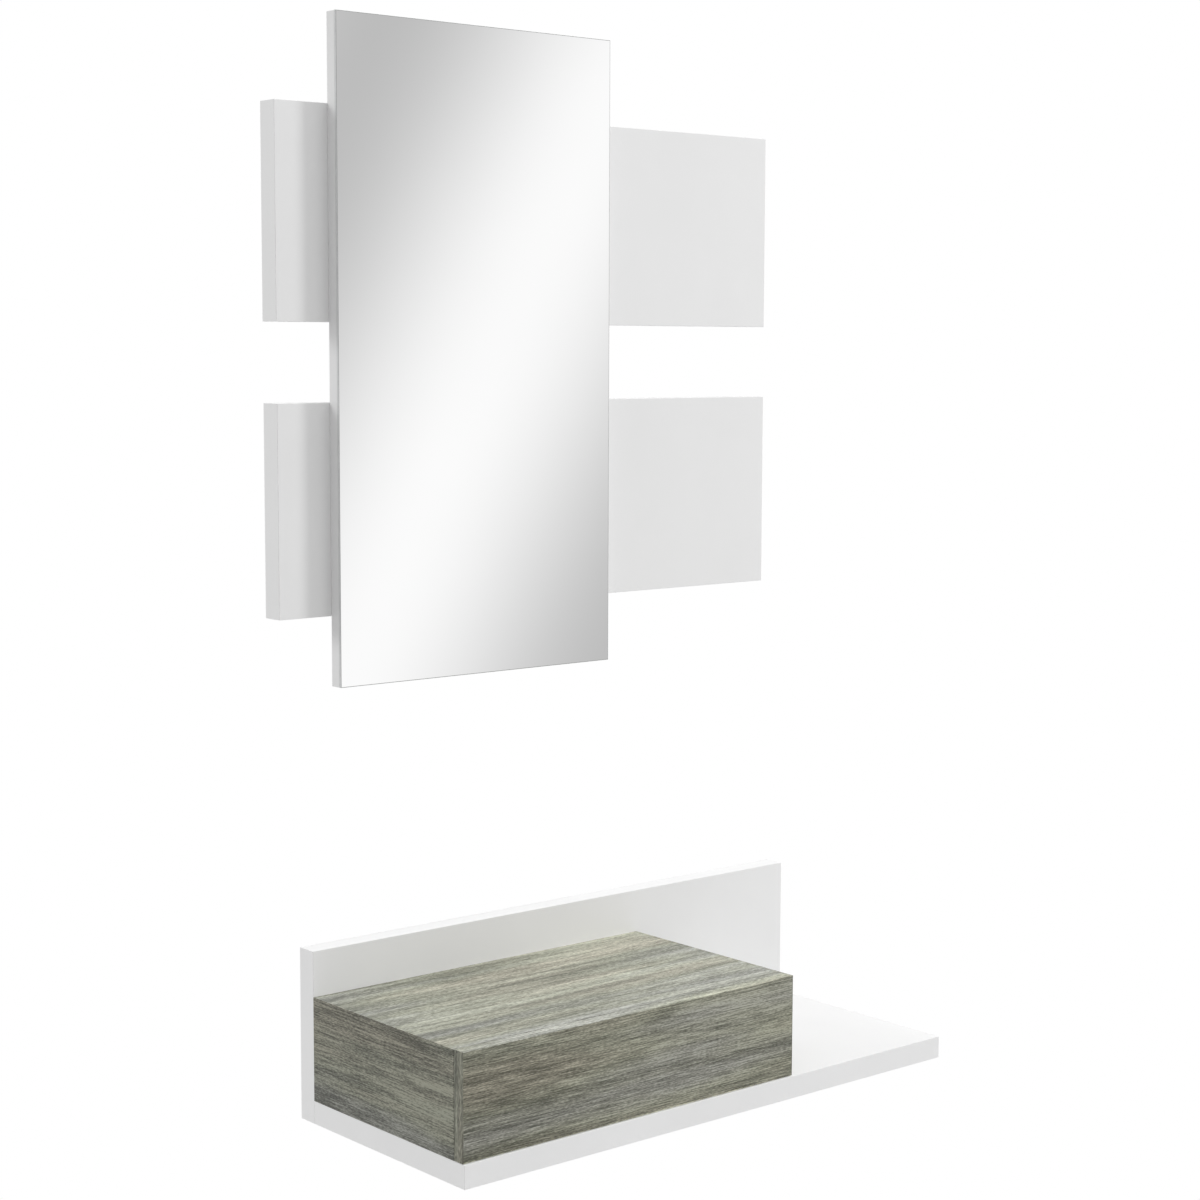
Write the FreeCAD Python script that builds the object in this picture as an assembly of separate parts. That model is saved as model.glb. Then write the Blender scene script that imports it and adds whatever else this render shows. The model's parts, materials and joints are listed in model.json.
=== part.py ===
import FreeCAD, Part
import math
import os

# Wall-hung hallway set: a mirror on two backing boards, and below it a shelf with one drawer.
# Millimetres. X runs to the right along the wall, Y into the wall, Z up.
# The wall is the plane y = 0, and the origin is the centre of the shelf back panel's rear face.

Vector = FreeCAD.Vector
ALONG_X = Vector(1, 0, 0)
ALONG_Y = Vector(0, 1, 0)
ALONG_Z = Vector(0, 0, 1)
TO_FRONT = Vector(0, -1, 0)

# Shelf
shelf_width = 800.0
shelf_depth = 333.0
shelf_board = 29.0
back_panel_height = 216.0

# White boards
edge_rounding = 0.6

# Mirror unit
mirror_above_shelf = 323.5
mirror_left_inset = 30.5
mirror_width = 424.0
mirror_height = 802.0
mirror_panel_thickness = 16.0
glass_thickness = 3.0
glass_arris = 0.3
tape_thickness = 0.3
tape_width = 24.0
tape_edge_distance = 30.0
tape_count = 4

# Boards behind the mirror
backing_board = 30.0
backing_board_width = 797.0
backing_board_height = 257.0
backing_board_gap = 96.0
backing_board_left_reach = 74.0
lower_board_above_mirror_foot = 85.5

# Boards to mirror panel
panel_screw_bite = 12.0
panel_screw_edge_distance = 60.0
panel_screw_spread = 140.0
panel_dowel_reach = 10.0

# Box on the shelf
box_width = 524.0
box_height = 130.0
box_board = 16.0
front_setback = 3.0
front_gap = 0.8
front_floor_gap = 0.5
box_screw_bite = 32.0
box_screw_end_distance = 50.0
box_screw_level = 38.0
spline_thickness = 3.0
spline_width = 10.0
spline_end_distance = 20.0

# Base board to back panel
base_screw_bite = 40.0
base_screw_end_distance = 60.0
base_screw_count = 4
dowel_radius = 4.0
dowel_reach = 20.0

# Drawer
front_board = 16.0
edge_band = 1.0
drawer_board = 12.0
drawer_height = 84.0
drawer_floor_gap = 10.0
rear_room = 32.0
bottom_thickness = 3.0
bottom_inset = 10.0
groove_depth = 6.0
groove_clearance = 0.2
drawer_dowel_radius = 3.0
drawer_dowel_reach = 10.0
corner_end_distance = 12.0
drawer_travel = 240.0

# Cam fitting between a drawer side and the drawer front
cam_radius = 6.0
cam_height = 9.0
cam_distance = 24.0
cam_bolt_radius = 2.5
cam_bolt_neck_radius = 1.5
cam_bolt_head = 3.0
cam_bolt_bite = 10.0
cam_slot_width = 1.6
cam_slot_depth = 2.0

# Telescopic slide
slide_thickness = 12.7
slide_height = 35.0
slide_sheet = 1.2
slide_end_distance = 2.0
slide_member_gap = 0.5
slide_flange_gap = 0.8
slide_screw_length = 12.0
slide_screw_end_distance = 45.0
slide_screw_count = 3
ball_radius = 1.5
ball_clearance = 0.35
ball_count = 6
cage_sheet = 1.0
cage_width = 5.2
cage_margin = 5.0

# Push latch behind the drawer
latch_width = 52.0
latch_height = 20.0
latch_flange = 3.0
latch_body_radius = 8.5
latch_bore_radius = 5.4
latch_front_wall = 2.0
latch_cap = 2.0
plunger_radius = 5.1
plunger_tip_radius = 3.6
plunger_shoulder = 6.0
plunger_reach = 4.7
plunger_running_gap = 0.3
strike_size = 18.0
strike_thickness = 1.5
strike_gap = 0.3
spring_wire_radius = 0.45
spring_radius = 3.9
spring_turns = 5
latch_screw_distance = 6.0

# Keyhole hangers, let into the rear faces
hanger_width = 30.0
hanger_length = 62.0
hanger_plate = 2.0
hanger_entry_radius = 5.0
hanger_slot_radius = 2.6
hanger_slot_rise = 14.0
hanger_pocket_depth = 8.0
hanger_pocket_margin = 2.0
hanger_screw_distance = 7.0
mirror_hanger_spacing = 600.0
shelf_hanger_spacing = 600.0
shelf_hanger_below_top = 50.0

# Countersunk screws in two sizes
screw_radius = 2.5
screw_head_radius = 4.8
screw_head_depth = 2.6
small_screw_radius = 1.75
small_screw_head_radius = 3.3
small_screw_head_depth = 1.6
small_screw_length = 16.0
screw_point = 3.0
screw_tip_share = 0.3
recess_radius = 1.3
recess_depth = 1.0

# Clearances
hole_clearance = 0.1
seat_clearance = 0.1
cam_clearance = 0.2

# Shelf and box planes
shelf_left = -shelf_width / 2
shelf_bottom = -back_panel_height / 2
shelf_top = shelf_bottom + back_panel_height
base_top = shelf_bottom + shelf_board
base_front = -shelf_depth
panel_face = -shelf_board
box_left = shelf_left
box_right = box_left + box_width
box_top_z = base_top + box_height
face_y = base_front + front_setback
front_rear_y = face_y + front_board
box_front_y = front_rear_y + front_gap
bay_left = box_left + box_board
bay_right = box_right - box_board
box_middle_x = (box_left + box_right) / 2

# Drawer planes
drawer_left = bay_left + slide_thickness
drawer_right = bay_right - slide_thickness
drawer_foot = base_top + drawer_floor_gap
drawer_head = drawer_foot + drawer_height
drawer_rear = panel_face - rear_room
drawer_middle_z = (drawer_foot + drawer_head) / 2
bottom_foot = drawer_foot + bottom_inset
bottom_head = bottom_foot + bottom_thickness
corner_levels = (bottom_head + corner_end_distance, drawer_head - corner_end_distance)
cam_level = sum(corner_levels) / 2

# Slide planes
slide_front = box_front_y + slide_end_distance
slide_rear = drawer_rear - slide_end_distance
slide_length = slide_rear - slide_front
flange_reach = slide_thickness - slide_sheet - slide_flange_gap
race_step = slide_sheet + 2 * (ball_radius + ball_clearance)
middle_half_height = slide_height / 2 - race_step
inner_half_height = middle_half_height - race_step
middle_web = slide_sheet + slide_member_gap
ball_reach = (middle_web + slide_sheet + flange_reach) / 2

# Mirror unit planes
mirror_left = shelf_left + mirror_left_inset
mirror_right = mirror_left + mirror_width
mirror_foot = shelf_top + mirror_above_shelf
mirror_head = mirror_foot + mirror_height
board_face = -backing_board
mirror_panel_face = board_face - mirror_panel_thickness
glass_rear = mirror_panel_face - tape_thickness
board_left = mirror_left - backing_board_left_reach
board_right = board_left + backing_board_width
lower_board_foot = mirror_foot + lower_board_above_mirror_foot
lower_board_head = lower_board_foot + backing_board_height
upper_board_foot = lower_board_head + backing_board_gap
upper_board_head = upper_board_foot + backing_board_height

os.makedirs("parts", exist_ok=True)


# Shapes

def block(x0, x1, y0, y1, z0, z1):
    return Part.makeBox(x1 - x0, y1 - y0, z1 - z0, Vector(x0, y0, z0))


def rounded_board(x0, x1, y0, y1, z0, z1):
    """Block whose edges are all slightly rounded."""
    board = block(x0, x1, y0, y1, z0, z1)
    return board.makeFillet(edge_rounding, board.Edges)


def placed(shape, at, direction):
    shape.Placement = FreeCAD.Placement(at, FreeCAD.Rotation(ALONG_Z, direction))
    return shape


def turned(profile, at, direction):
    """Solid of revolution through (distance, radius) pairs, from a point along a direction."""
    points = [Vector(0, 0, profile[0][0])]
    points += [Vector(radius, 0, distance) for distance, radius in profile]
    points += [Vector(0, 0, profile[-1][0]), points[0]]
    solid = Part.Face(Part.makePolygon(points)).revolve(Vector(0, 0, 0), ALONG_Z, 360)
    return placed(solid, at, direction)


def rod(radius, length, at, direction):
    return Part.makeCylinder(radius, length, at, direction)


def prism(outline, y0, y1):
    """Solid between two Y planes over an outline of (x, z) corners."""
    corners = [Vector(x, y0, z) for x, z in outline]
    face = Part.Face(Part.makePolygon(corners + corners[:1]))
    return face.extrude(Vector(0, y1 - y0, 0))


def spread(first, last, count):
    """Evenly spaced values from the first to the last."""
    return [first + (last - first) * i / (count - 1) for i in range(count)]


def save(name, shapes):
    """Writes one node: a single solid, or a group of separate solids."""
    shape = shapes if isinstance(shapes, Part.Shape) else Part.makeCompound(shapes)
    shape.exportStep("parts/" + name + ".step")


# Screws: each function gives the screw and the hole that it needs

def recessed(screw, at, direction):
    """Cuts the driver recess into a screw head that starts at a point."""
    return screw.cut(rod(recess_radius, recess_depth, at, direction))


def countersunk(at, direction, length, radius, head_radius, head_depth):
    screw = turned(
        [(0, head_radius), (head_depth, radius), (length - screw_point, radius),
         (length, radius * screw_tip_share)],
        at, direction)
    hole = turned(
        [(0, head_radius + hole_clearance), (head_depth, radius + hole_clearance),
         (length + hole_clearance, radius + hole_clearance)],
        at, direction)
    return recessed(screw, at, direction), hole


def screw_at(at, direction, length):
    return countersunk(at, direction, length, screw_radius, screw_head_radius, screw_head_depth)


def small_screw_at(at, direction, length):
    return countersunk(
        at, direction, length, small_screw_radius, small_screw_head_radius, small_screw_head_depth)


def fixings(points, maker, *arguments):
    """Screws and holes for a list of points, as two lists."""
    made = [maker(point, *arguments) for point in points]
    return [screw for screw, hole in made], [hole for screw, hole in made]


def dowels(points, direction, radius, reach):
    """Dowels centred on the points, and their holes, as two lists."""
    pins = [rod(radius, 2 * reach, p - direction * reach, direction) for p in points]
    bore = radius + hole_clearance
    depth = reach + hole_clearance
    holes = [rod(bore, 2 * depth, p - direction * depth, direction) for p in points]
    return pins, holes


# Keyhole hangers

def keyhole(x, z, y0, y1, entry_radius, slot_radius):
    """Round entry with a slot rising from it."""
    depth = y1 - y0
    entry = rod(entry_radius, depth, Vector(x, y0, z), ALONG_Y)
    slot_end = rod(slot_radius, depth, Vector(x, y0, z + hanger_slot_rise), ALONG_Y)
    slot = block(x - slot_radius, x + slot_radius, y0, y1, z, z + hanger_slot_rise)
    return entry.fuse([slot, slot_end]).removeSplitter()


def hanger(x, z):
    """Keyhole plate at a wall screw's entry: the plate, its screws, and all that the board loses."""
    foot = z + hanger_slot_rise / 2 - hanger_length / 2
    head = foot + hanger_length
    half = hanger_width / 2
    plate = block(x - half, x + half, -hanger_plate, 0, foot, head)
    plate = plate.cut(keyhole(x, z, -hanger_plate, 0, hanger_entry_radius, hanger_slot_radius))
    points = [Vector(x, 0, foot + hanger_screw_distance), Vector(x, 0, head - hanger_screw_distance)]
    screws, holes = fixings(points, small_screw_at, TO_FRONT, small_screw_length)
    plate = plate.cut(holes)
    bed = block(x - half - seat_clearance, x + half + seat_clearance, -hanger_plate, 0,
                foot - seat_clearance, head + seat_clearance)
    pocket_floor = -hanger_plate - hanger_pocket_depth
    pocket_radius = hanger_entry_radius + hanger_pocket_margin
    pocket = keyhole(x, z, pocket_floor, -hanger_plate, pocket_radius, pocket_radius)
    return plate, screws, [bed, pocket] + holes


def hangers(points):
    plates, screws, cuts = [], [], []
    for x, z in points:
        plate, plate_screws, plate_cuts = hanger(x, z)
        plates.append(plate)
        screws += plate_screws
        cuts += plate_cuts
    return plates, screws, cuts


# Mirror unit

def make_mirror_unit():
    board_middle_x = (board_left + board_right) / 2
    lower_middle = (lower_board_foot + lower_board_head) / 2
    upper_middle = (upper_board_foot + upper_board_head) / 2
    fixing_xs = (mirror_left + panel_screw_edge_distance, mirror_right - panel_screw_edge_distance)

    screw_points = [
        Vector(x, 0, middle + offset)
        for x in fixing_xs
        for middle in (lower_middle, upper_middle)
        for offset in (-panel_screw_spread / 2, panel_screw_spread / 2)]
    screws, screw_holes = fixings(screw_points, screw_at, TO_FRONT, backing_board + panel_screw_bite)
    dowel_points = [
        Vector(x, board_face, middle) for x in fixing_xs for middle in (lower_middle, upper_middle)]
    pins, pin_holes = dowels(dowel_points, ALONG_Y, dowel_radius, panel_dowel_reach)
    panel_cuts = screw_holes + pin_holes

    hanger_points = [
        (board_middle_x + side * mirror_hanger_spacing / 2, middle)
        for middle in (lower_middle, upper_middle)
        for side in (-1, 1)]
    plates, plate_screws, hanger_cuts = hangers(hanger_points)

    for name, foot, head in (("lower", lower_board_foot, lower_board_head),
                             ("upper", upper_board_foot, upper_board_head)):
        board = rounded_board(board_left, board_right, board_face, 0, foot, head)
        save(name + "_backing_board", board.cut(panel_cuts + hanger_cuts))

    panel = rounded_board(mirror_left, mirror_right, mirror_panel_face, board_face,
                          mirror_foot, mirror_head)
    save("mirror_backing_panel", panel.cut(panel_cuts))

    glass = block(mirror_left, mirror_right, glass_rear - glass_thickness, glass_rear,
                  mirror_foot, mirror_head)
    front_face = min(glass.Faces, key=lambda face: face.CenterOfMass.y)
    save("mirror_glass", glass.makeChamfer(glass_arris, front_face.Edges))

    tape_lefts = spread(mirror_left + tape_edge_distance,
                        mirror_right - tape_edge_distance - tape_width, tape_count)
    save("mirror_tape", [
        block(left, left + tape_width, glass_rear, mirror_panel_face,
              mirror_foot + tape_edge_distance, mirror_head - tape_edge_distance)
        for left in tape_lefts])

    save("panel_screws", screws)
    save("panel_dowels", pins)
    save("mirror_hanger_plates", plates)
    save("mirror_hanger_screws", plate_screws)


# Slides

def side_frame(side):
    """Where a slide starts and which way it runs, from the box side towards the drawer."""
    return (bay_left, 1) if side == "left" else (bay_right, -1)


def slide_block(side, u0, u1, y0, y1, z0, z1):
    """Block given by its distances from the box side and from the slide's middle height."""
    start, sense = side_frame(side)
    x0, x1 = sorted((start + sense * u0, start + sense * u1))
    return block(x0, x1, y0, y1, drawer_middle_z + z0, drawer_middle_z + z1)


def channel(side, web, flange_end, half_height):
    """Sheet channel: its web starts at one distance from the box side and its flanges end at another."""
    trough_start = web + slide_sheet if flange_end > web else web
    body = slide_block(side, min(web, flange_end), max(web + slide_sheet, flange_end),
                       slide_front, slide_rear, -half_height, half_height)
    trough_half = half_height - slide_sheet
    trough = slide_block(side, trough_start, flange_end, slide_front, slide_rear, -trough_half, trough_half)
    return body.cut(trough)


def slide_screws(side, web_face, direction):
    """Flat-head screws through a slide's web, level with the web's open face."""
    start, sense = side_frame(side)
    stations = spread(slide_front + slide_screw_end_distance, slide_rear - slide_screw_end_distance,
                      slide_screw_count)
    points = [Vector(start + sense * web_face, y, drawer_middle_z) for y in stations]
    return fixings(points, small_screw_at, ALONG_X * (sense * direction), slide_screw_length)


def ball_cage(side, race_half_height):
    """Two holed strips with their balls, above and below, for the race at a half height."""
    start, sense = side_frame(side)
    cage_rear = slide_rear - drawer_travel / 4 - cage_margin
    cage_front = slide_front + drawer_travel / 4 + cage_margin
    axis_x = start + sense * ball_reach
    level = race_half_height - slide_sheet - ball_clearance - ball_radius
    stations = spread(cage_front + cage_margin, cage_rear - cage_margin, ball_count)
    solids = []
    for sign in (-1, 1):
        centre = sign * level
        strip = slide_block(side, ball_reach - cage_width / 2, ball_reach + cage_width / 2,
                            cage_front, cage_rear, centre - cage_sheet / 2, centre + cage_sheet / 2)
        balls = [Vector(axis_x, y, drawer_middle_z + centre) for y in stations]
        windows = [rod(ball_radius + hole_clearance, cage_sheet, b - ALONG_Z * (cage_sheet / 2), ALONG_Z)
                   for b in balls]
        solids.append(strip.cut(windows))
        solids += [Part.makeSphere(ball_radius, b) for b in balls]
    return solids


def make_slides():
    """Saves both slides, and gives their screw holes in the box sides and in the drawer sides."""
    cabinet_screws, cabinet_holes = [], []
    drawer_screws, drawer_holes = [], []
    inner_web = slide_thickness - slide_sheet
    for side in ("left", "right"):
        outer_screws, outer_holes = slide_screws(side, slide_sheet, -1)
        inner_screws, inner_holes = slide_screws(side, inner_web, 1)
        cabinet_screws += outer_screws
        cabinet_holes += outer_holes
        drawer_screws += inner_screws
        drawer_holes += inner_holes
        outer = channel(side, 0, flange_reach, slide_height / 2)
        save("slide_outer_" + side, outer.cut(outer_holes))
        save("slide_middle_" + side, channel(side, middle_web, flange_reach, middle_half_height))
        inner_flange_end = middle_web + slide_sheet + slide_member_gap
        inner = channel(side, inner_web, inner_flange_end, inner_half_height)
        save("slide_inner_" + side, inner.cut(inner_holes))
        save("slide_cage_outer_" + side, ball_cage(side, slide_height / 2))
        save("slide_cage_inner_" + side, ball_cage(side, middle_half_height))
    save("slide_cabinet_screws", cabinet_screws)
    save("slide_drawer_screws", drawer_screws)
    return cabinet_holes, drawer_holes


# Push latch

def make_latch():
    """Saves the latch, and gives its screw holes in the back panel."""
    x = box_middle_x
    z = (bottom_head + drawer_head) / 2
    strike_face = drawer_rear + strike_thickness
    tip = strike_face + strike_gap
    housing_front = tip + plunger_reach
    cap_front = panel_face - latch_cap
    chamber_front = housing_front + latch_front_wall
    shoulder_front = chamber_front + plunger_running_gap
    shoulder_rear = shoulder_front + plunger_shoulder

    half_width = latch_width / 2
    half_height = latch_height / 2
    flange = block(x - half_width, x + half_width, panel_face - latch_flange, panel_face,
                   z - half_height, z + half_height)
    tube = rod(latch_body_radius, panel_face - housing_front, Vector(x, housing_front, z), ALONG_Y)
    chamber = rod(latch_bore_radius, panel_face - chamber_front, Vector(x, chamber_front, z), ALONG_Y)
    mouth_radius = plunger_tip_radius + plunger_running_gap
    mouth = rod(mouth_radius, latch_front_wall, Vector(x, housing_front, z), ALONG_Y)
    screw_points = [
        Vector(x + side * (half_width - latch_screw_distance), panel_face - latch_flange, z)
        for side in (-1, 1)]
    screws, holes = fixings(screw_points, small_screw_at, ALONG_Y, small_screw_length)
    save("latch_housing", flange.fuse(tube).removeSplitter().cut([chamber, mouth] + holes))
    save("latch_screws", screws)
    cap_radius = latch_bore_radius - seat_clearance
    save("latch_end_cap", rod(cap_radius, latch_cap, Vector(x, cap_front, z), ALONG_Y))

    plunger = turned(
        [(0, plunger_tip_radius), (shoulder_front - tip, plunger_tip_radius),
         (shoulder_front - tip, plunger_radius), (shoulder_rear - tip, plunger_radius)],
        Vector(x, tip, z), ALONG_Y)
    save("latch_plunger", plunger)
    save("latch_spring", spring(Vector(x, shoulder_rear, z), cap_front - shoulder_rear))

    half_strike = strike_size / 2
    strike = block(x - half_strike, x + half_strike, drawer_rear, strike_face,
                   z - half_strike, z + half_strike)
    save("latch_strike", strike)
    return holes


def spring(at, room):
    """Helical wire between the plunger and the end cap, of quarter-turn arcs that climb evenly."""
    end_room = spring_wire_radius + hole_clearance
    eighths = 8 * spring_turns
    stops = []
    for i in range(eighths + 1):
        angle = i * math.pi / 4
        climb = end_room + (room - 2 * end_room) * i / eighths
        stops.append(at + Vector(spring_radius * math.cos(angle), climb, spring_radius * math.sin(angle)))
    arcs = [Part.Arc(*stops[i:i + 3]).toShape() for i in range(0, eighths, 2)]
    start_direction = arcs[0].tangentAt(arcs[0].FirstParameter)
    section = Part.Wire(Part.makeCircle(spring_wire_radius, stops[0], start_direction))
    return Part.Wire(arcs).makePipeShell([section], True, True)


# Drawer

def make_drawer(slide_holes):
    inner_left = drawer_left + drawer_board
    inner_right = drawer_right - drawer_board
    back_front = drawer_rear - drawer_board
    corner_xs = {"left": drawer_left + drawer_board / 2, "right": drawer_right - drawer_board / 2}
    front_foot = base_top + front_floor_gap
    groove_head = bottom_head + groove_clearance
    groove = block(inner_left - groove_depth, inner_right + groove_depth,
                   front_rear_y - groove_depth, drawer_rear, bottom_foot, groove_head)

    dowel_points = [
        Vector(x, front_rear_y, level)
        for x in corner_xs.values()
        for level in corner_levels]
    pins, pin_holes = dowels(dowel_points, ALONG_Y, drawer_dowel_radius, drawer_dowel_reach)

    bolts, discs, cam_cuts = [], [], []
    for x, mouth_x, inward in ((corner_xs["left"], inner_left, 1), (corner_xs["right"], inner_right, -1)):
        bolt, bolt_hole, bolt_room = cam_bolt(x)
        disc, seat = cam_disc(mouth_x, inward)
        bolts.append(bolt)
        discs.append(disc.cut(bolt_room))
        cam_cuts += [bolt_hole, seat]

    back_screws, back_holes = [], []
    for x, inward in ((drawer_left, 1), (drawer_right, -1)):
        points = [Vector(x, drawer_rear - drawer_board / 2, level) for level in corner_levels]
        screws, holes = fixings(points, small_screw_at, ALONG_X * inward, drawer_board + small_screw_length)
        back_screws += screws
        back_holes += holes

    bottom_points = [
        Vector(x, drawer_rear - drawer_board / 2, bottom_foot)
        for x in spread(inner_left + drawer_board * 2, inner_right - drawer_board * 2, 3)]
    bottom_screws, bottom_holes = fixings(bottom_points, small_screw_at, ALONG_Z, small_screw_length)

    side_cuts = slide_holes + pin_holes + cam_cuts + back_holes + [groove]
    for name, x0, x1 in (("left", drawer_left, inner_left), ("right", inner_right, drawer_right)):
        panel = block(x0, x1, front_rear_y, drawer_rear, drawer_foot, drawer_head)
        save("drawer_" + name + "_side", panel.cut(side_cuts))

    back = block(inner_left, inner_right, back_front, drawer_rear, bottom_head, drawer_head)
    save("drawer_back", back.cut(back_holes + bottom_holes))

    bottom_reach = groove_depth - groove_clearance
    bottom = block(inner_left - bottom_reach, inner_right + bottom_reach,
                   front_rear_y - bottom_reach, drawer_rear, bottom_foot, bottom_head)
    save("drawer_bottom", bottom.cut(bottom_holes))

    front = block(box_left + edge_band, box_right - edge_band, face_y, front_rear_y,
                  front_foot + edge_band, box_top_z - edge_band)
    save("drawer_front", front.cut(pin_holes + cam_cuts + [groove]))
    bands = {
        "left": (box_left, box_left + edge_band, front_foot, box_top_z),
        "right": (box_right - edge_band, box_right, front_foot, box_top_z),
        "top": (box_left + edge_band, box_right - edge_band, box_top_z - edge_band, box_top_z),
        "bottom": (box_left + edge_band, box_right - edge_band, front_foot, front_foot + edge_band),
    }
    for name, (x0, x1, z0, z1) in bands.items():
        save("front_band_" + name, block(x0, x1, face_y, front_rear_y, z0, z1))

    save("drawer_dowels", pins)
    save("drawer_cam_bolts", bolts)
    save("drawer_cam_discs", discs)
    save("drawer_back_screws", back_screws)
    save("drawer_bottom_screws", bottom_screws)


def cam_bolt(x):
    """Bolt from the drawer front into a cam disc: the bolt, its hole, and its room in the disc."""
    head_end = cam_bolt_bite + cam_distance + cam_bolt_head / 2
    neck_end = head_end - cam_bolt_head
    neck_start = neck_end - cam_radius + cam_bolt_head
    at = Vector(x, front_rear_y - cam_bolt_bite, cam_level)
    bolt = turned(
        [(0, cam_bolt_radius), (neck_start, cam_bolt_radius), (neck_start, cam_bolt_neck_radius),
         (neck_end, cam_bolt_neck_radius), (neck_end, cam_bolt_radius), (head_end, cam_bolt_radius)],
        at, ALONG_Y)
    hole = rod(cam_bolt_radius + hole_clearance, head_end + hole_clearance, at, ALONG_Y)
    room = rod(cam_bolt_radius + cam_clearance, head_end + cam_clearance, at, ALONG_Y)
    return bolt, hole, room


def cam_disc(mouth_x, inward):
    """Disc with a cross slot, level with a drawer side's inner face, and its seat in the side."""
    y = front_rear_y + cam_distance
    outward = ALONG_X * -inward
    mouth = Vector(mouth_x, y, cam_level)
    disc = rod(cam_radius, cam_height, mouth, outward)
    seat = rod(cam_radius + seat_clearance, cam_height + seat_clearance, mouth, outward)
    x0, x1 = sorted((mouth_x, mouth_x - inward * cam_slot_depth))
    half_long = cam_radius - cam_slot_width
    half_wide = cam_slot_width / 2
    slots = [
        block(x0, x1, y - half_long, y + half_long, cam_level - half_wide, cam_level + half_wide),
        block(x0, x1, y - half_wide, y + half_wide, cam_level - half_long, cam_level + half_long)]
    return disc.cut(slots), seat


# Shelf and box

def make_shelf(cabinet_holes, latch_holes):
    side_axes = (box_left + box_board / 2, box_right - box_board / 2)
    base_level = shelf_bottom + shelf_board / 2
    top_level = box_top_z - box_board / 2
    side_levels = (base_top + box_screw_level, box_top_z - box_screw_level)

    base_stations = spread(shelf_left + base_screw_end_distance, -shelf_left - base_screw_end_distance,
                           base_screw_count)
    base_points = [Vector(x, 0, base_level) for x in base_stations]
    base_screws, base_holes = fixings(base_points, screw_at, TO_FRONT, shelf_board + base_screw_bite)
    dowel_points = [
        Vector((a + b) / 2, panel_face, base_level) for a, b in zip(base_stations, base_stations[1:])]
    pins, pin_holes = dowels(dowel_points, ALONG_Y, dowel_radius, dowel_reach)

    under_points = [
        Vector(x, y, shelf_bottom)
        for x in side_axes
        for y in spread(box_front_y + box_screw_end_distance, panel_face - box_screw_end_distance, 3)]
    under_screws, under_holes = fixings(under_points, screw_at, ALONG_Z, shelf_board + box_screw_bite)

    behind_points = [Vector(x, 0, z) for x in side_axes for z in side_levels]
    behind_points += [Vector(x, 0, top_level) for x in spread(box_left, box_right, 4)[1:3]]
    behind_screws, behind_holes = fixings(behind_points, screw_at, TO_FRONT, shelf_board + box_screw_bite)

    hanger_level = shelf_top - shelf_hanger_below_top
    hanger_points = [(side * shelf_hanger_spacing / 2, hanger_level) for side in (-1, 1)]
    plates, plate_screws, hanger_cuts = hangers(hanger_points)

    panel = rounded_board(shelf_left, -shelf_left, panel_face, 0, shelf_bottom, shelf_top)
    save("shelf_back_panel",
         panel.cut(base_holes + pin_holes + behind_holes + hanger_cuts + latch_holes))
    base = rounded_board(shelf_left, -shelf_left, base_front, panel_face, shelf_bottom, base_top)
    save("shelf_base_board", base.cut(base_holes + pin_holes + under_holes))

    splines, spline_cuts = mitre_splines()
    side_outlines = {
        "left": [(box_left, base_top), (bay_left, base_top), (bay_left, box_top_z - box_board),
                 (box_left, box_top_z)],
        "right": [(bay_right, base_top), (box_right, base_top), (box_right, box_top_z),
                  (bay_right, box_top_z - box_board)],
    }
    box_cuts = cabinet_holes + under_holes + behind_holes + spline_cuts
    for name, outline in side_outlines.items():
        save("box_" + name + "_side", prism(outline, box_front_y, panel_face).cut(box_cuts))
    top_outline = [(box_left, box_top_z), (bay_left, box_top_z - box_board),
                   (bay_right, box_top_z - box_board), (box_right, box_top_z)]
    save("box_top", prism(top_outline, box_front_y, panel_face).cut(behind_holes + spline_cuts))

    save("base_screws", base_screws)
    save("base_dowels", pins)
    save("box_base_screws", under_screws)
    save("box_back_screws", behind_screws)
    save("mitre_splines", splines)
    save("shelf_hanger_plates", plates)
    save("shelf_hanger_screws", plate_screws)


def mitre_splines():
    """Loose tongues across the two mitres, and the grooves for them, as two lists."""
    tongues, grooves = [], []
    level = box_top_z - box_board / 2
    for x, lean in ((box_left + box_board / 2, -45), (box_right - box_board / 2, 45)):
        for solids, width, thickness in ((tongues, spline_width, spline_thickness),
                                         (grooves, spline_width + 2 * seat_clearance,
                                          spline_thickness + 2 * seat_clearance)):
            bar = Part.makeBox(width, panel_face - box_front_y - 2 * spline_end_distance, thickness,
                               Vector(-width / 2, box_front_y + spline_end_distance, -thickness / 2))
            bar.rotate(Vector(0, 0, 0), ALONG_Y, lean)
            bar.translate(Vector(x, 0, level))
            solids.append(bar)
    return tongues, grooves


make_mirror_unit()
cabinet_holes, drawer_holes = make_slides()
latch_holes = make_latch()
make_drawer(drawer_holes)
make_shelf(cabinet_holes, latch_holes)
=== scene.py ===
import bpy
import json
import math
from mathutils import Matrix, Vector


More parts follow.
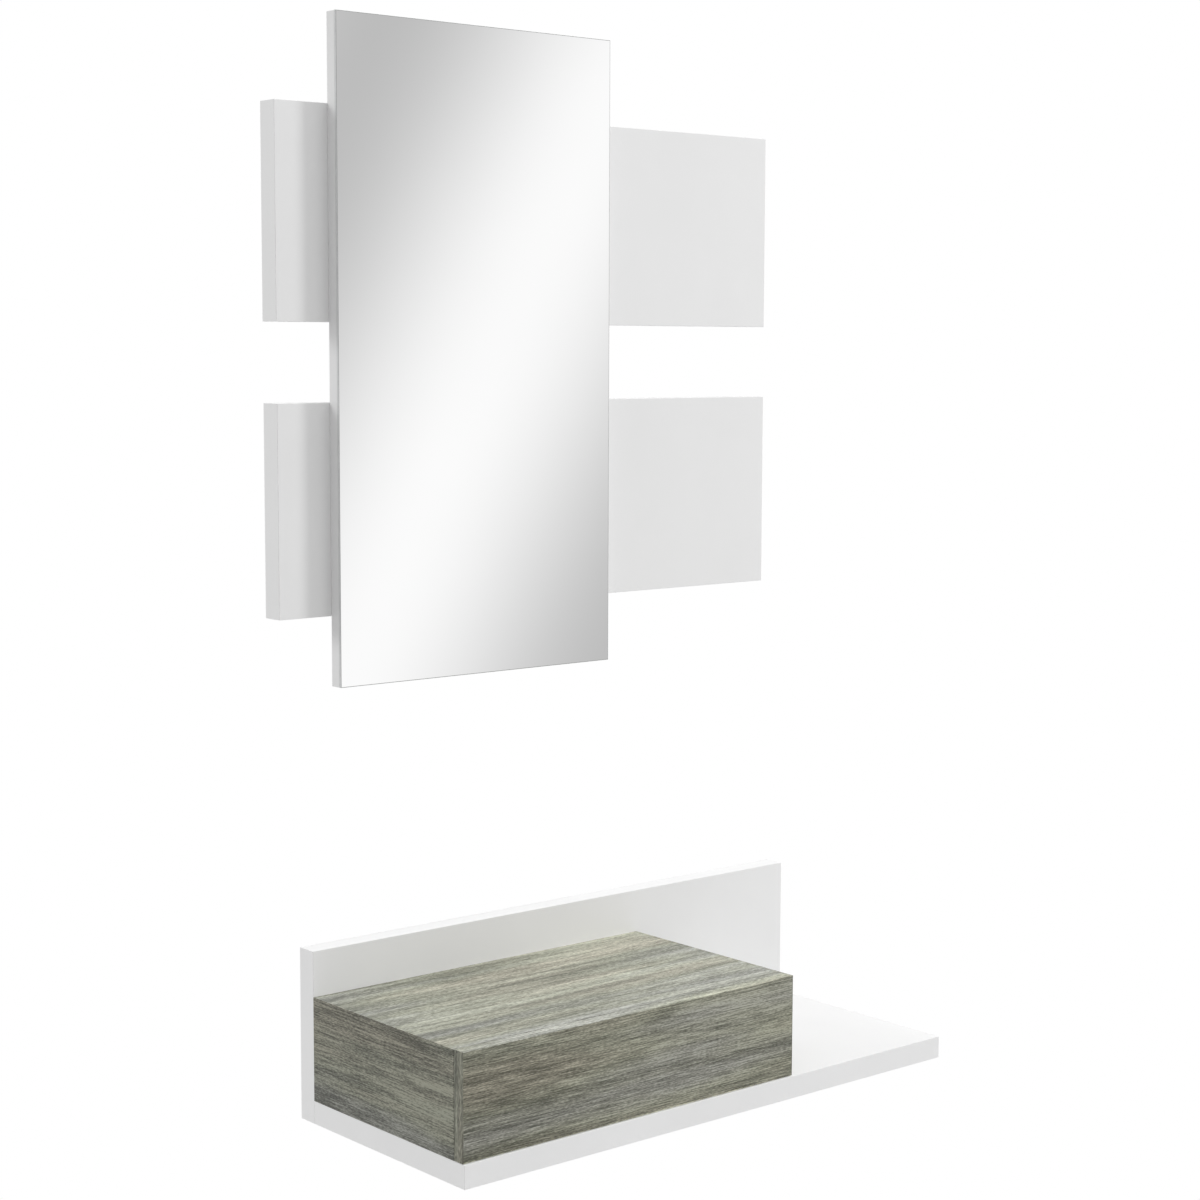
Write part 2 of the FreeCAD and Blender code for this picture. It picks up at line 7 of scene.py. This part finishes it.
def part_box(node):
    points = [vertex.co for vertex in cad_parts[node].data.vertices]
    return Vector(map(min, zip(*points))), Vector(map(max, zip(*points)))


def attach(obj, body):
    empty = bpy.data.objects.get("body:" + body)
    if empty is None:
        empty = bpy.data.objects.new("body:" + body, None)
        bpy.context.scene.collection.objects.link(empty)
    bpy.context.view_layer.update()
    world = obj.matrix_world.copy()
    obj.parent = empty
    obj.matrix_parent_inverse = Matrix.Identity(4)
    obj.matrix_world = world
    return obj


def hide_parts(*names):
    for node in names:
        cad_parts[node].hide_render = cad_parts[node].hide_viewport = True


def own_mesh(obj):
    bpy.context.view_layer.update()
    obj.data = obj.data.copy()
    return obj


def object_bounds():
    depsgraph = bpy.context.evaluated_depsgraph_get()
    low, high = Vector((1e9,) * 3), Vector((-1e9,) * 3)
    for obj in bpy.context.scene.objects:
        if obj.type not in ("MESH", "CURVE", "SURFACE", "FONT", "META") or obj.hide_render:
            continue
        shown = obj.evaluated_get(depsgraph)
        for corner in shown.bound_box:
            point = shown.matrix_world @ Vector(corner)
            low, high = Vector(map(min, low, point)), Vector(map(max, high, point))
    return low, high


# Looks, light and camera for the hallway mirror and the shelf with a drawer below it.
# Metres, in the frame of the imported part: X right along the wall, Y into the wall, Z up.

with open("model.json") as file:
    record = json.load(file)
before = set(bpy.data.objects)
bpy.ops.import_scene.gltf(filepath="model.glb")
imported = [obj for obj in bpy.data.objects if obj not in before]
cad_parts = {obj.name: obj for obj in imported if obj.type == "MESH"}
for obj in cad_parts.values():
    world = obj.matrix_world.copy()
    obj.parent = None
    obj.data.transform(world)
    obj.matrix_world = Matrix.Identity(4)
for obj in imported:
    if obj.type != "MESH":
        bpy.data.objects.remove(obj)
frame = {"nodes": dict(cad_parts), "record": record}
nodes = frame["nodes"]
bounds_at_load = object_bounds()

# Camera, matched to the photograph's straight edges; angles in degrees, lens in millimetres
camera_place = Vector((-1.9863, -2.4292, 0.8394))
camera_yaw = 40.413
camera_pitch = -5.99
camera_roll = 0.183
camera_lens = 71.845
camera_sensor = 36.0

# Light
world_fill = 0.52
right_light_from = Vector((0.87, -0.45, 0.25))
right_light_level = 0.5
right_light_size = 1.5
rear_light_from = Vector((-0.88, 0.34, 0.34))
rear_light_level = 0.22
rear_light_size = 2.4
top_light_from = Vector((0.1, -0.22, 0.97))
top_light_level = 0.42
top_light_size = 2.4
light_distance = 7.0

# Studio that the mirror shows: soft diagonal bands between grey and white on the room's side, white behind
band_direction = Vector((0.8562, 0.3139, -0.4104))
band_width = 0.1964
band_offset = 0.2788
band_grey = 0.5207
band_white = 0.9855
band_full_y = -0.35

# Floor
floor_drop = 0.75
floor_radius = 1.6
floor_segments = 96
floor_fade_start = 0.9
floor_camera_lift = 0.25

# Noise: the middle of its values, and where a mottled colour reaches its dark and its light end
noise_middle = 0.5
mottle_low = 0.3
mottle_high = 0.7

# White boards, in display values; the mirror's backing panel is the same board a little darker, painted
# shade on its side faces
board_grey = 237
panel_shaded_grey = 233
board_mottle = 3

# Grey oak: display colours of its grain, how far its values reach to either side, and its layers' weights
oak_light = (183, 182, 170)
oak_middle = (133, 132, 121)
oak_dark = (81, 81, 71)
oak_reach = 0.26
oak_zone_weight = 0.55
oak_band_weight = 0.65
oak_streak_weight = 0.9
oak_fleck_weight = 0.75

# Grey oak: tints that its colours are multiplied by, and its roughness in and between the flecks
oak_tint_cool = (238, 243, 252)
oak_tint_green = (248, 254, 240)
oak_tint_warm = (255, 250, 237)
oak_tint_reach = 0.14
oak_tint_share = 0.6
oak_fleck_roughness = 0.56
oak_plain_roughness = 0.46

# Plated steel: roughness on and between its drawing lines, as shares of the plating's own
steel_smooth_share = 0.8
steel_rough_share = 1.25

# Mirror glass; the first value is the width of the painted arris reflection, a dark grey band along the rim
# of the glass's faces
arris_reflection_width = 0.0008
glass_flat_cosine = 0.95
glass_bare_roughness = 0.35

# Spring of the push latch
spring_wire_radius = 0.00045
spring_turns = 5
spring_steps_per_turn = 32
spring_wire_sides = 12

WHITE = (1.0, 1.0, 1.0, 1.0)
AXES = {"x": 0, "y": 1, "z": 2}


def srgb(red, green, blue):
    """Linear colour with alpha from 8-bit display values."""
    def linear(value):
        share = value / 255
        return share / 12.92 if share <= 0.04045 else ((share + 0.055) / 1.055) ** 2.4
    return linear(red), linear(green), linear(blue), 1.0


class Tree:
    """Short ways to add nodes to a node tree and to feed their inputs."""

    def __init__(self, tree):
        self.tree = tree

    def node(self, kind, inputs, **settings):
        """Adds a node; an input is given as a value or as another node's output."""
        made = self.tree.nodes.new(kind)
        for key, value in settings.items():
            setattr(made, key, value)
        for key, value in inputs.items():
            self.feed(made.inputs[key], value)
        return made

    def feed(self, socket, value):
        if isinstance(value, bpy.types.NodeSocket):
            self.tree.links.new(value, socket)
        else:
            socket.default_value = value

    def math(self, operation, first, second=0.0):
        made = self.node("ShaderNodeMath", {0: first, 1: second}, operation=operation)
        return made.outputs[0]

    def span(self, value, low, high, to_low=0.0, to_high=1.0):
        """Maps a value's range to another, clamped."""
        made = self.node("ShaderNodeMapRange", {
            "Value": value, "From Min": low, "From Max": high, "To Min": to_low, "To Max": to_high})
        return made.outputs["Result"]

    def between(self, share, first, second):
        """Number that lies between two others by a share."""
        made = self.node("ShaderNodeMix", {0: share, 2: first, 3: second}, data_type="FLOAT")
        return made.outputs[0]


class Graph(Tree):
    """A material: one principled shader, fed by short chains of texture nodes."""

    def __init__(self, name, roughness, metallic=0.0, specular=0.5):
        self.material = bpy.data.materials.new(name)
        self.material.use_nodes = True
        super().__init__(self.material.node_tree)
        self.shader = self.tree.nodes["Principled BSDF"]
        self.set("Roughness", roughness)
        self.set("Metallic", metallic)
        self.set("Specular IOR Level", specular)

    def set(self, name, value):
        self.feed(self.shader.inputs[name], value)

    def place(self, stretch=(1, 1, 1), shift=(0, 0, 0)):
        """Object coordinates, each axis scaled and then moved."""
        coordinates = self.node("ShaderNodeTexCoord", {})
        mapping = self.node("ShaderNodeMapping", {
            "Vector": coordinates.outputs["Object"], "Scale": stretch, "Location": shift})
        return mapping.outputs["Vector"]

    def noise(self, place, scale, detail=2.0, roughness=0.5):
        made = self.node("ShaderNodeTexNoise", {
            "Vector": place, "Scale": scale, "Detail": detail, "Roughness": roughness})
        return made.outputs["Fac"]

    def ramp(self, value, stops):
        """Colour ramp through stops of a position and a display colour."""
        made = self.node("ShaderNodeValToRGB", {"Fac": value})
        elements = made.color_ramp.elements
        while len(elements) < len(stops):
            elements.new(noise_middle)
        for element, (position, colour) in zip(elements, stops):
            element.position = position
            element.color = srgb(*colour)
        return made.outputs["Color"]

    def mottle(self, value, dark, light):
        """Colour that wanders with a noise between two display colours."""
        return self.ramp(value, [(mottle_low, dark), (mottle_high, light)])

    def blend(self, share, first, second, mode="MIX"):
        made = self.node("ShaderNodeMix", {0: share, 6: first, 7: second},
                         data_type="RGBA", blend_type=mode)
        return made.outputs[2]

    def bump(self, height, strength, distance):
        made = self.node("ShaderNodeBump", {
            "Height": height, "Strength": strength, "Distance": distance})
        self.set("Normal", made.outputs["Normal"])


# Materials

def white_board(name, grey):
    """White lacquered board: even, with a trace of orange peel."""
    graph = Graph(name, roughness=0.28)
    cloud = graph.noise(graph.place(), scale=6.0, detail=3.0)
    graph.set("Base Color", graph.mottle(cloud, dark=(grey,) * 3, light=(grey + board_mottle,) * 3))
    graph.bump(graph.noise(graph.place(), scale=420.0), strength=0.04, distance=0.0004)
    return graph.material


def grain_stretch(along, ratio):
    """Scale of each axis for grain that runs along one of them."""
    stretch = [1.0, 1.0, 1.0]
    stretch[AXES[along]] = ratio
    return stretch


def grey_oak(name, along, shift, painted_light_tone=(1.0, 1.0, 1.0), contrast=1.0, streak_weight=oak_streak_weight):
    """Grey oak decor: wide zones, bands, thin streaks and short flecks along the grain."""
    graph = Graph(name, roughness=0.5)

    def layer(ratio, **settings):
        return graph.noise(graph.place(grain_stretch(along, ratio), shift), **settings)

    # toned scales every colour of the piece by its tone, which paints light into it: lighter on faces the
    # light favours, darker on faces in shade
    def toned(colour):
        return [channel * share for channel, share in zip(colour, painted_light_tone)]

    zone = layer(ratio=0.2, scale=12.0, detail=1.0)
    band = layer(ratio=0.05, scale=80.0)
    streak = layer(ratio=0.03, scale=700.0, roughness=0.6)
    fleck = layer(ratio=0.22, scale=850.0, detail=1.0)
    tint = layer(ratio=0.1, scale=18.0)

    value = noise_middle
    for part, weight in ((zone, oak_zone_weight), (band, oak_band_weight),
                         (streak, streak_weight), (fleck, oak_fleck_weight)):
        swing = graph.math("MULTIPLY", graph.math("SUBTRACT", part, noise_middle), weight)
        value = graph.math("ADD", swing, value)
    reach = oak_reach / contrast
    colour = graph.ramp(value, [(noise_middle - reach, toned(oak_dark)),
                                (noise_middle, toned(oak_middle)),
                                (noise_middle + reach, toned(oak_light))])
    warmth = graph.ramp(tint, [(noise_middle - oak_tint_reach, oak_tint_cool),
                               (noise_middle, oak_tint_green),
                               (noise_middle + oak_tint_reach, oak_tint_warm)])
    graph.set("Base Color", graph.blend(oak_tint_share, colour, warmth, "MULTIPLY"))
    graph.set("Roughness", graph.span(fleck, mottle_low, mottle_high,
                                      oak_fleck_roughness, oak_plain_roughness))
    graph.bump(fleck, strength=0.15, distance=0.0003)
    return graph.material


def mirror_silver():
    """Silvered glass: a mirror on its flat faces and bare glass on its edge faces; a thin rim of the flat
    faces is painted dark grey, a painted reflection of the polished arris.
    """
    graph = Graph("mirror_silver", roughness=0.0, metallic=1.0)
    low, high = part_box("mirror_glass")
    middle = (low + high) / 2
    place = graph.node("ShaderNodeSeparateXYZ", {"Vector": graph.place()}).outputs
    insets = []
    for axis in ("X", "Z"):
        index = AXES[axis.lower()]
        offset = graph.math("ABSOLUTE", graph.math("SUBTRACT", place[axis], middle[index]))
        insets.append(graph.math("SUBTRACT", (high[index] - low[index]) / 2, offset))
    inside = graph.math("GREATER_THAN", graph.math("MINIMUM", *insets), arris_reflection_width)
    normal = graph.node("ShaderNodeNewGeometry", {}).outputs["True Normal"]
    facing = graph.node("ShaderNodeSeparateXYZ", {"Vector": normal}).outputs["Y"]
    flat = graph.math("GREATER_THAN", graph.math("ABSOLUTE", facing), glass_flat_cosine)
    silvered = graph.math("MULTIPLY", flat, inside)

    haze = graph.noise(graph.place(), scale=3.0, detail=3.0)
    cloud = graph.noise(graph.place(), scale=60.0)
    silver = graph.mottle(haze, dark=(251, 251, 251), light=(253, 253, 253))
    edge = graph.mottle(cloud, dark=(208, 209, 209), light=(216, 217, 217))
    # Painted reflection: the thin rim of the faces is dark grey, standing in for the reflection in the
    # polished arris
    rim = graph.mottle(cloud, dark=(136, 138, 137), light=(146, 148, 147))
    graph.set("Base Color", graph.blend(silvered, graph.blend(flat, edge, rim), silver))
    graph.set("Metallic", silvered)
    graph.set("Roughness", graph.span(silvered, 0.0, 1.0, to_low=glass_bare_roughness, to_high=0.0))
    return graph.material


def foil_board():
    """White foil on drawer boards: matt, faintly grained."""
    graph = Graph("foil_board", roughness=0.5)
    grain = graph.noise(graph.place(stretch=(0.08, 0.08, 1.0)), scale=300.0, detail=3.0)
    graph.set("Base Color", graph.mottle(grain, dark=(224, 224, 220), light=(233, 233, 230)))
    graph.bump(grain, strength=0.08, distance=0.0003)
    return graph.material


def lacquered_hardboard():
    graph = Graph("lacquered_hardboard", roughness=0.42)
    fleck = graph.noise(graph.place(), scale=240.0, detail=4.0, roughness=0.7)
    graph.set("Base Color", graph.mottle(fleck, dark=(222, 220, 214), light=(233, 231, 226)))
    graph.bump(fleck, strength=0.06, distance=0.0002)
    return graph.material


def beech():
    graph = Graph("beech", roughness=0.6)
    grain = graph.noise(graph.place(grain_stretch("y", ratio=0.06)), scale=500.0, detail=3.0)
    graph.set("Base Color", graph.mottle(grain, dark=(188, 146, 104), light=(217, 180, 138)))
    graph.bump(grain, strength=0.15, distance=0.0002)
    return graph.material


def plated_steel(name, dark, light, roughness, along):
    """Plated steel with drawing lines along one axis."""
    graph = Graph(name, roughness=roughness, metallic=1.0)
    lines = graph.noise(graph.place(grain_stretch(along, ratio=0.03)), scale=900.0, detail=3.0)
    graph.set("Base Color", graph.mottle(lines, dark, light))
    graph.set("Roughness", graph.span(lines, mottle_low, mottle_high,
                                      roughness * steel_smooth_share, roughness * steel_rough_share))
    return graph.material


def moulded_plastic():
    graph = Graph("moulded_plastic", roughness=0.5)
    grain = graph.noise(graph.place(), scale=1400.0)
    graph.set("Base Color", graph.mottle(grain, dark=(180, 181, 183), light=(192, 193, 195)))
    graph.bump(grain, strength=0.1, distance=0.0002)
    return graph.material


def foam_tape():
    graph = Graph("foam_tape", roughness=0.85)
    cells = graph.noise(graph.place(), scale=1800.0, detail=3.0)
    graph.set("Base Color", graph.mottle(cells, dark=(86, 86, 86), light=(104, 104, 104)))
    graph.bump(cells, strength=0.3, distance=0.0002)
    return graph.material


def dress_nodes():
    """Gives every node the material of its slot; oak pieces get their own, by grain direction, toned with
    painted light: lighter for a painted sheen on the top and a painted highlight on the level bands, darker
    for painted shade on the left side and the upright bands. The mirror's backing panel gets a darker copy
    of the white board, painted shade.
    """
    by_slot = {
        "white_board": white_board("white_board", board_grey),
        "mirror": mirror_silver(),
        "drawer_board": foil_board(),
        "hardboard": lacquered_hardboard(),
        "beech": beech(),
        "zinc_steel": plated_steel("zinc_steel", dark=(170, 173, 178), light=(194, 197, 201),
                                   roughness=0.3, along="y"),
        "screw_steel": plated_steel("screw_steel", dark=(174, 162, 122), light=(202, 191, 153),
                                    roughness=0.34, along="y"),
        "bearing": plated_steel("bearing", dark=(176, 178, 182), light=(204, 206, 210),
                                roughness=0.22, along="y"),
        "spring_steel": plated_steel("spring_steel", dark=(168, 168, 172), light=(196, 197, 200),
                                     roughness=0.28, along="x"),
        "latch_plastic": moulded_plastic(),
        "tape": foam_tape(),
    }
    # Painted shade: the upright bands are toned darker
    upright_band_painted_shade = grey_oak("oak_band_upright_painted_shade", along="z", shift=(0.85, 2.87, 0.0), painted_light_tone=(0.93, 0.93, 0.93))
    # Painted highlight: the level bands are toned lighter, for the bright line along their edges
    level_band_painted_highlight = grey_oak("oak_band_level_painted_highlight", along="x", shift=(0.0, 0.0, 0.0), painted_light_tone=(1.2, 1.2, 1.2))
    by_node = {
        # Painted shade: the backing panel gets a darker copy of the white board
        "mirror_backing_panel": white_board("white_panel_painted_shade", panel_shaded_grey),
        # Painted sheen: the top's oak is toned lighter for the light it catches at a grazing angle
        "box_top": grey_oak("oak_top_painted_sheen", along="x", shift=(2.805, 2.571, 2.558), painted_light_tone=(1.16, 1.16, 1.17),
                            contrast=0.91),
        "drawer_front": grey_oak("oak_front", along="x", shift=(2.708, 0.323, 1.858),
                                 painted_light_tone=(0.988, 0.98, 0.972), contrast=0.9, streak_weight=1.3),
        # Painted shade: the left side's oak is toned darker for the light it misses
        "box_left_side": grey_oak("oak_left_painted_shade", along="y", shift=(1.241, 1.587, 0.559),
                                  painted_light_tone=(0.826, 0.826, 0.818), contrast=1.19, streak_weight=1.15),
        "box_right_side": grey_oak("oak_right", along="y", shift=(0.0, 0.17, 0.31)),
        "front_band_left": upright_band_painted_shade,
        "front_band_right": upright_band_painted_shade,
        "front_band_top": level_band_painted_highlight,
        "front_band_bottom": level_band_painted_highlight,
    }
    for subpart in frame["record"]["subparts"]:
        name = subpart["node"]
        material = by_node.get(name) or by_slot[subpart["material_slot"]]
        nodes[name].material_slots[0].material = material


# Latch spring

def make_spring():
    """Coil between the latch's plunger and its end cap."""
    low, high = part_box("latch_spring")
    middle = (low + high) / 2
    coil_radius = (high.x - low.x) / 2 - spring_wire_radius
    start = low.y + spring_wire_radius
    rise = high.y - low.y - 2 * spring_wire_radius
    steps = spring_turns * spring_steps_per_turn
    climb = rise / (2 * math.pi * spring_turns)

    points = []
    for i in range(steps + 1):
        angle = 2 * math.pi * i / spring_steps_per_turn
        outward = Vector((math.cos(angle), 0.0, math.sin(angle)))
        around = Vector((-math.sin(angle), 0.0, math.cos(angle)))
        tangent = (around * coil_radius + Vector((0.0, climb, 0.0))).normalized()
        sideways = tangent.cross(outward)
        axis_point = Vector((middle.x, start + rise * i / steps, middle.z))
        centre = axis_point + outward * coil_radius
        for j in range(spring_wire_sides):
            turn = 2 * math.pi * j / spring_wire_sides
            spoke = outward * math.cos(turn) + sideways * math.sin(turn)
            points.append(centre + spoke * spring_wire_radius)
    faces = []
    for i in range(steps):
        for j in range(spring_wire_sides):
            ring = i * spring_wire_sides
            following = (j + 1) % spring_wire_sides
            faces.append((ring + j, ring + following, ring + spring_wire_sides + following,
                          ring + spring_wire_sides + j))
    faces.append(tuple(reversed(range(spring_wire_sides))))
    faces.append(tuple(range(steps * spring_wire_sides, (steps + 1) * spring_wire_sides)))

    mesh = bpy.data.meshes.new("latch_spring_coil")
    mesh.from_pydata(points, [], faces)
    mesh.polygons.foreach_set("use_smooth", [len(face) == 4 for face in faces])
    mesh.materials.append(nodes["latch_spring"].material_slots[0].material)
    coil = bpy.data.objects.new("latch_spring_coil", mesh)
    bpy.context.scene.collection.objects.link(coil)
    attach(coil, "wall_set")
    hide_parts("latch_spring")

    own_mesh(coil)


# Stage

def make_world():
    """White for camera rays, an even fill for the light, and soft diagonal bands for what shines."""
    world = bpy.data.worlds.new("studio")
    bpy.context.scene.world = world
    world.use_nodes = True
    world.node_tree.nodes.clear()
    tree = Tree(world.node_tree)

    direction = tree.node("ShaderNodeTexCoord", {}).outputs["Generated"]
    along = tree.node("ShaderNodeVectorMath", {0: direction, 1: band_direction}, operation="DOT_PRODUCT")
    offset = tree.math("SUBTRACT", along.outputs["Value"], band_offset)
    wave = tree.math("COSINE", tree.math("MULTIPLY", offset, 2 * math.pi / band_width))
    middle = (band_white + band_grey) / 2
    swing = (band_white - band_grey) / 2
    bands = tree.math("ADD", tree.math("MULTIPLY", wave, swing), middle)
    depth = tree.node("ShaderNodeSeparateXYZ", {0: direction}).outputs["Y"]
    shine = tree.between(tree.span(depth, 0.0, band_full_y), 1.0, bands)

    path = tree.node("ShaderNodeLightPath", {}).outputs
    glossy = tree.math("MAXIMUM", path["Is Glossy Ray"], path["Is Transmission Ray"])
    level = tree.between(glossy, world_fill, shine)
    seen = tree.between(path["Is Camera Ray"], level, 1.0)
    background = tree.node("ShaderNodeBackground", {"Color": WHITE, "Strength": seen})
    tree.node("ShaderNodeOutputWorld", {"Surface": background.outputs[0]})


def add_light(name, middle, towards, level, size):
    """Round area light that gives the middle of the object a level of light along a direction."""
    light = bpy.data.lights.new(name, "AREA")
    light.shape = "DISK"
    light.size = size
    light.energy = level * math.pi * light_distance ** 2 * math.pi
    lamp = bpy.data.objects.new(name, light)
    direction = towards.normalized()
    lamp.location = middle + direction * light_distance
    lamp.rotation_euler = direction.to_track_quat("Z", "Y").to_euler()
    lamp.visible_glossy = False
    bpy.context.scene.collection.objects.link(lamp)


def make_floor():
    """Pale disc below the shelf that fades out at its rim."""
    low, high = bounds_at_load
    rim = []
    for i in range(floor_segments):
        angle = 2 * math.pi * i / floor_segments
        rim.append((math.cos(angle) * floor_radius, math.sin(angle) * floor_radius, 0.0))
    mesh = bpy.data.meshes.new("floor")
    mesh.from_pydata(rim, [], [range(floor_segments)])
    floor = bpy.data.objects.new("floor", mesh)
    floor.location = ((low.x + high.x) / 2, (low.y + high.y) / 2, low.z - floor_drop)
    bpy.context.scene.collection.objects.link(floor)

    graph = Graph("pale_floor", roughness=0.9, specular=0.0)
    grain = graph.noise(graph.place(), scale=40.0, detail=3.0)
    graph.set("Base Color", graph.mottle(grain, dark=(242, 242, 242), light=(244, 244, 244)))
    path = graph.node("ShaderNodeLightPath", {}).outputs
    graph.set("Emission Color", WHITE)
    graph.set("Emission Strength", graph.math("MULTIPLY", path["Is Camera Ray"], floor_camera_lift))
    reach = graph.node("ShaderNodeVectorMath", {0: graph.place()}, operation="LENGTH").outputs["Value"]
    graph.set("Alpha", graph.span(reach, floor_fade_start, floor_radius, to_low=1.0, to_high=0.0))
    mesh.materials.append(graph.material)


def make_camera():
    yaw = math.radians(camera_yaw)
    pitch = math.radians(camera_pitch)
    roll = math.radians(camera_roll)
    ahead = Vector((math.sin(yaw) * math.cos(pitch), math.cos(yaw) * math.cos(pitch), math.sin(pitch)))
    level_right = Vector((math.cos(yaw), -math.sin(yaw), 0.0))
    level_up = level_right.cross(ahead)
    right = level_right * math.cos(roll) + level_up * math.sin(roll)
    up = right.cross(ahead)
    data = bpy.data.cameras.new("camera")
    data.lens = camera_lens
    data.sensor_width = camera_sensor
    data.sensor_fit = "HORIZONTAL"
    camera = bpy.data.objects.new("camera", data)
    turn = Matrix((right, up, -ahead)).transposed().to_4x4()
    camera.matrix_world = Matrix.Translation(camera_place) @ turn
    bpy.context.scene.collection.objects.link(camera)
    bpy.context.scene.camera = camera


def make_stage():
    low, high = bounds_at_load
    middle = (low + high) / 2
    make_world()
    add_light("right_light", middle, right_light_from, right_light_level, right_light_size)
    add_light("rear_light", middle, rear_light_from, rear_light_level, rear_light_size)
    add_light("top_light", middle, top_light_from, top_light_level, top_light_size)
    make_floor()
    make_camera()
    bpy.context.scene.view_settings.view_transform = "Standard"


dress_nodes()
make_spring()
make_stage()
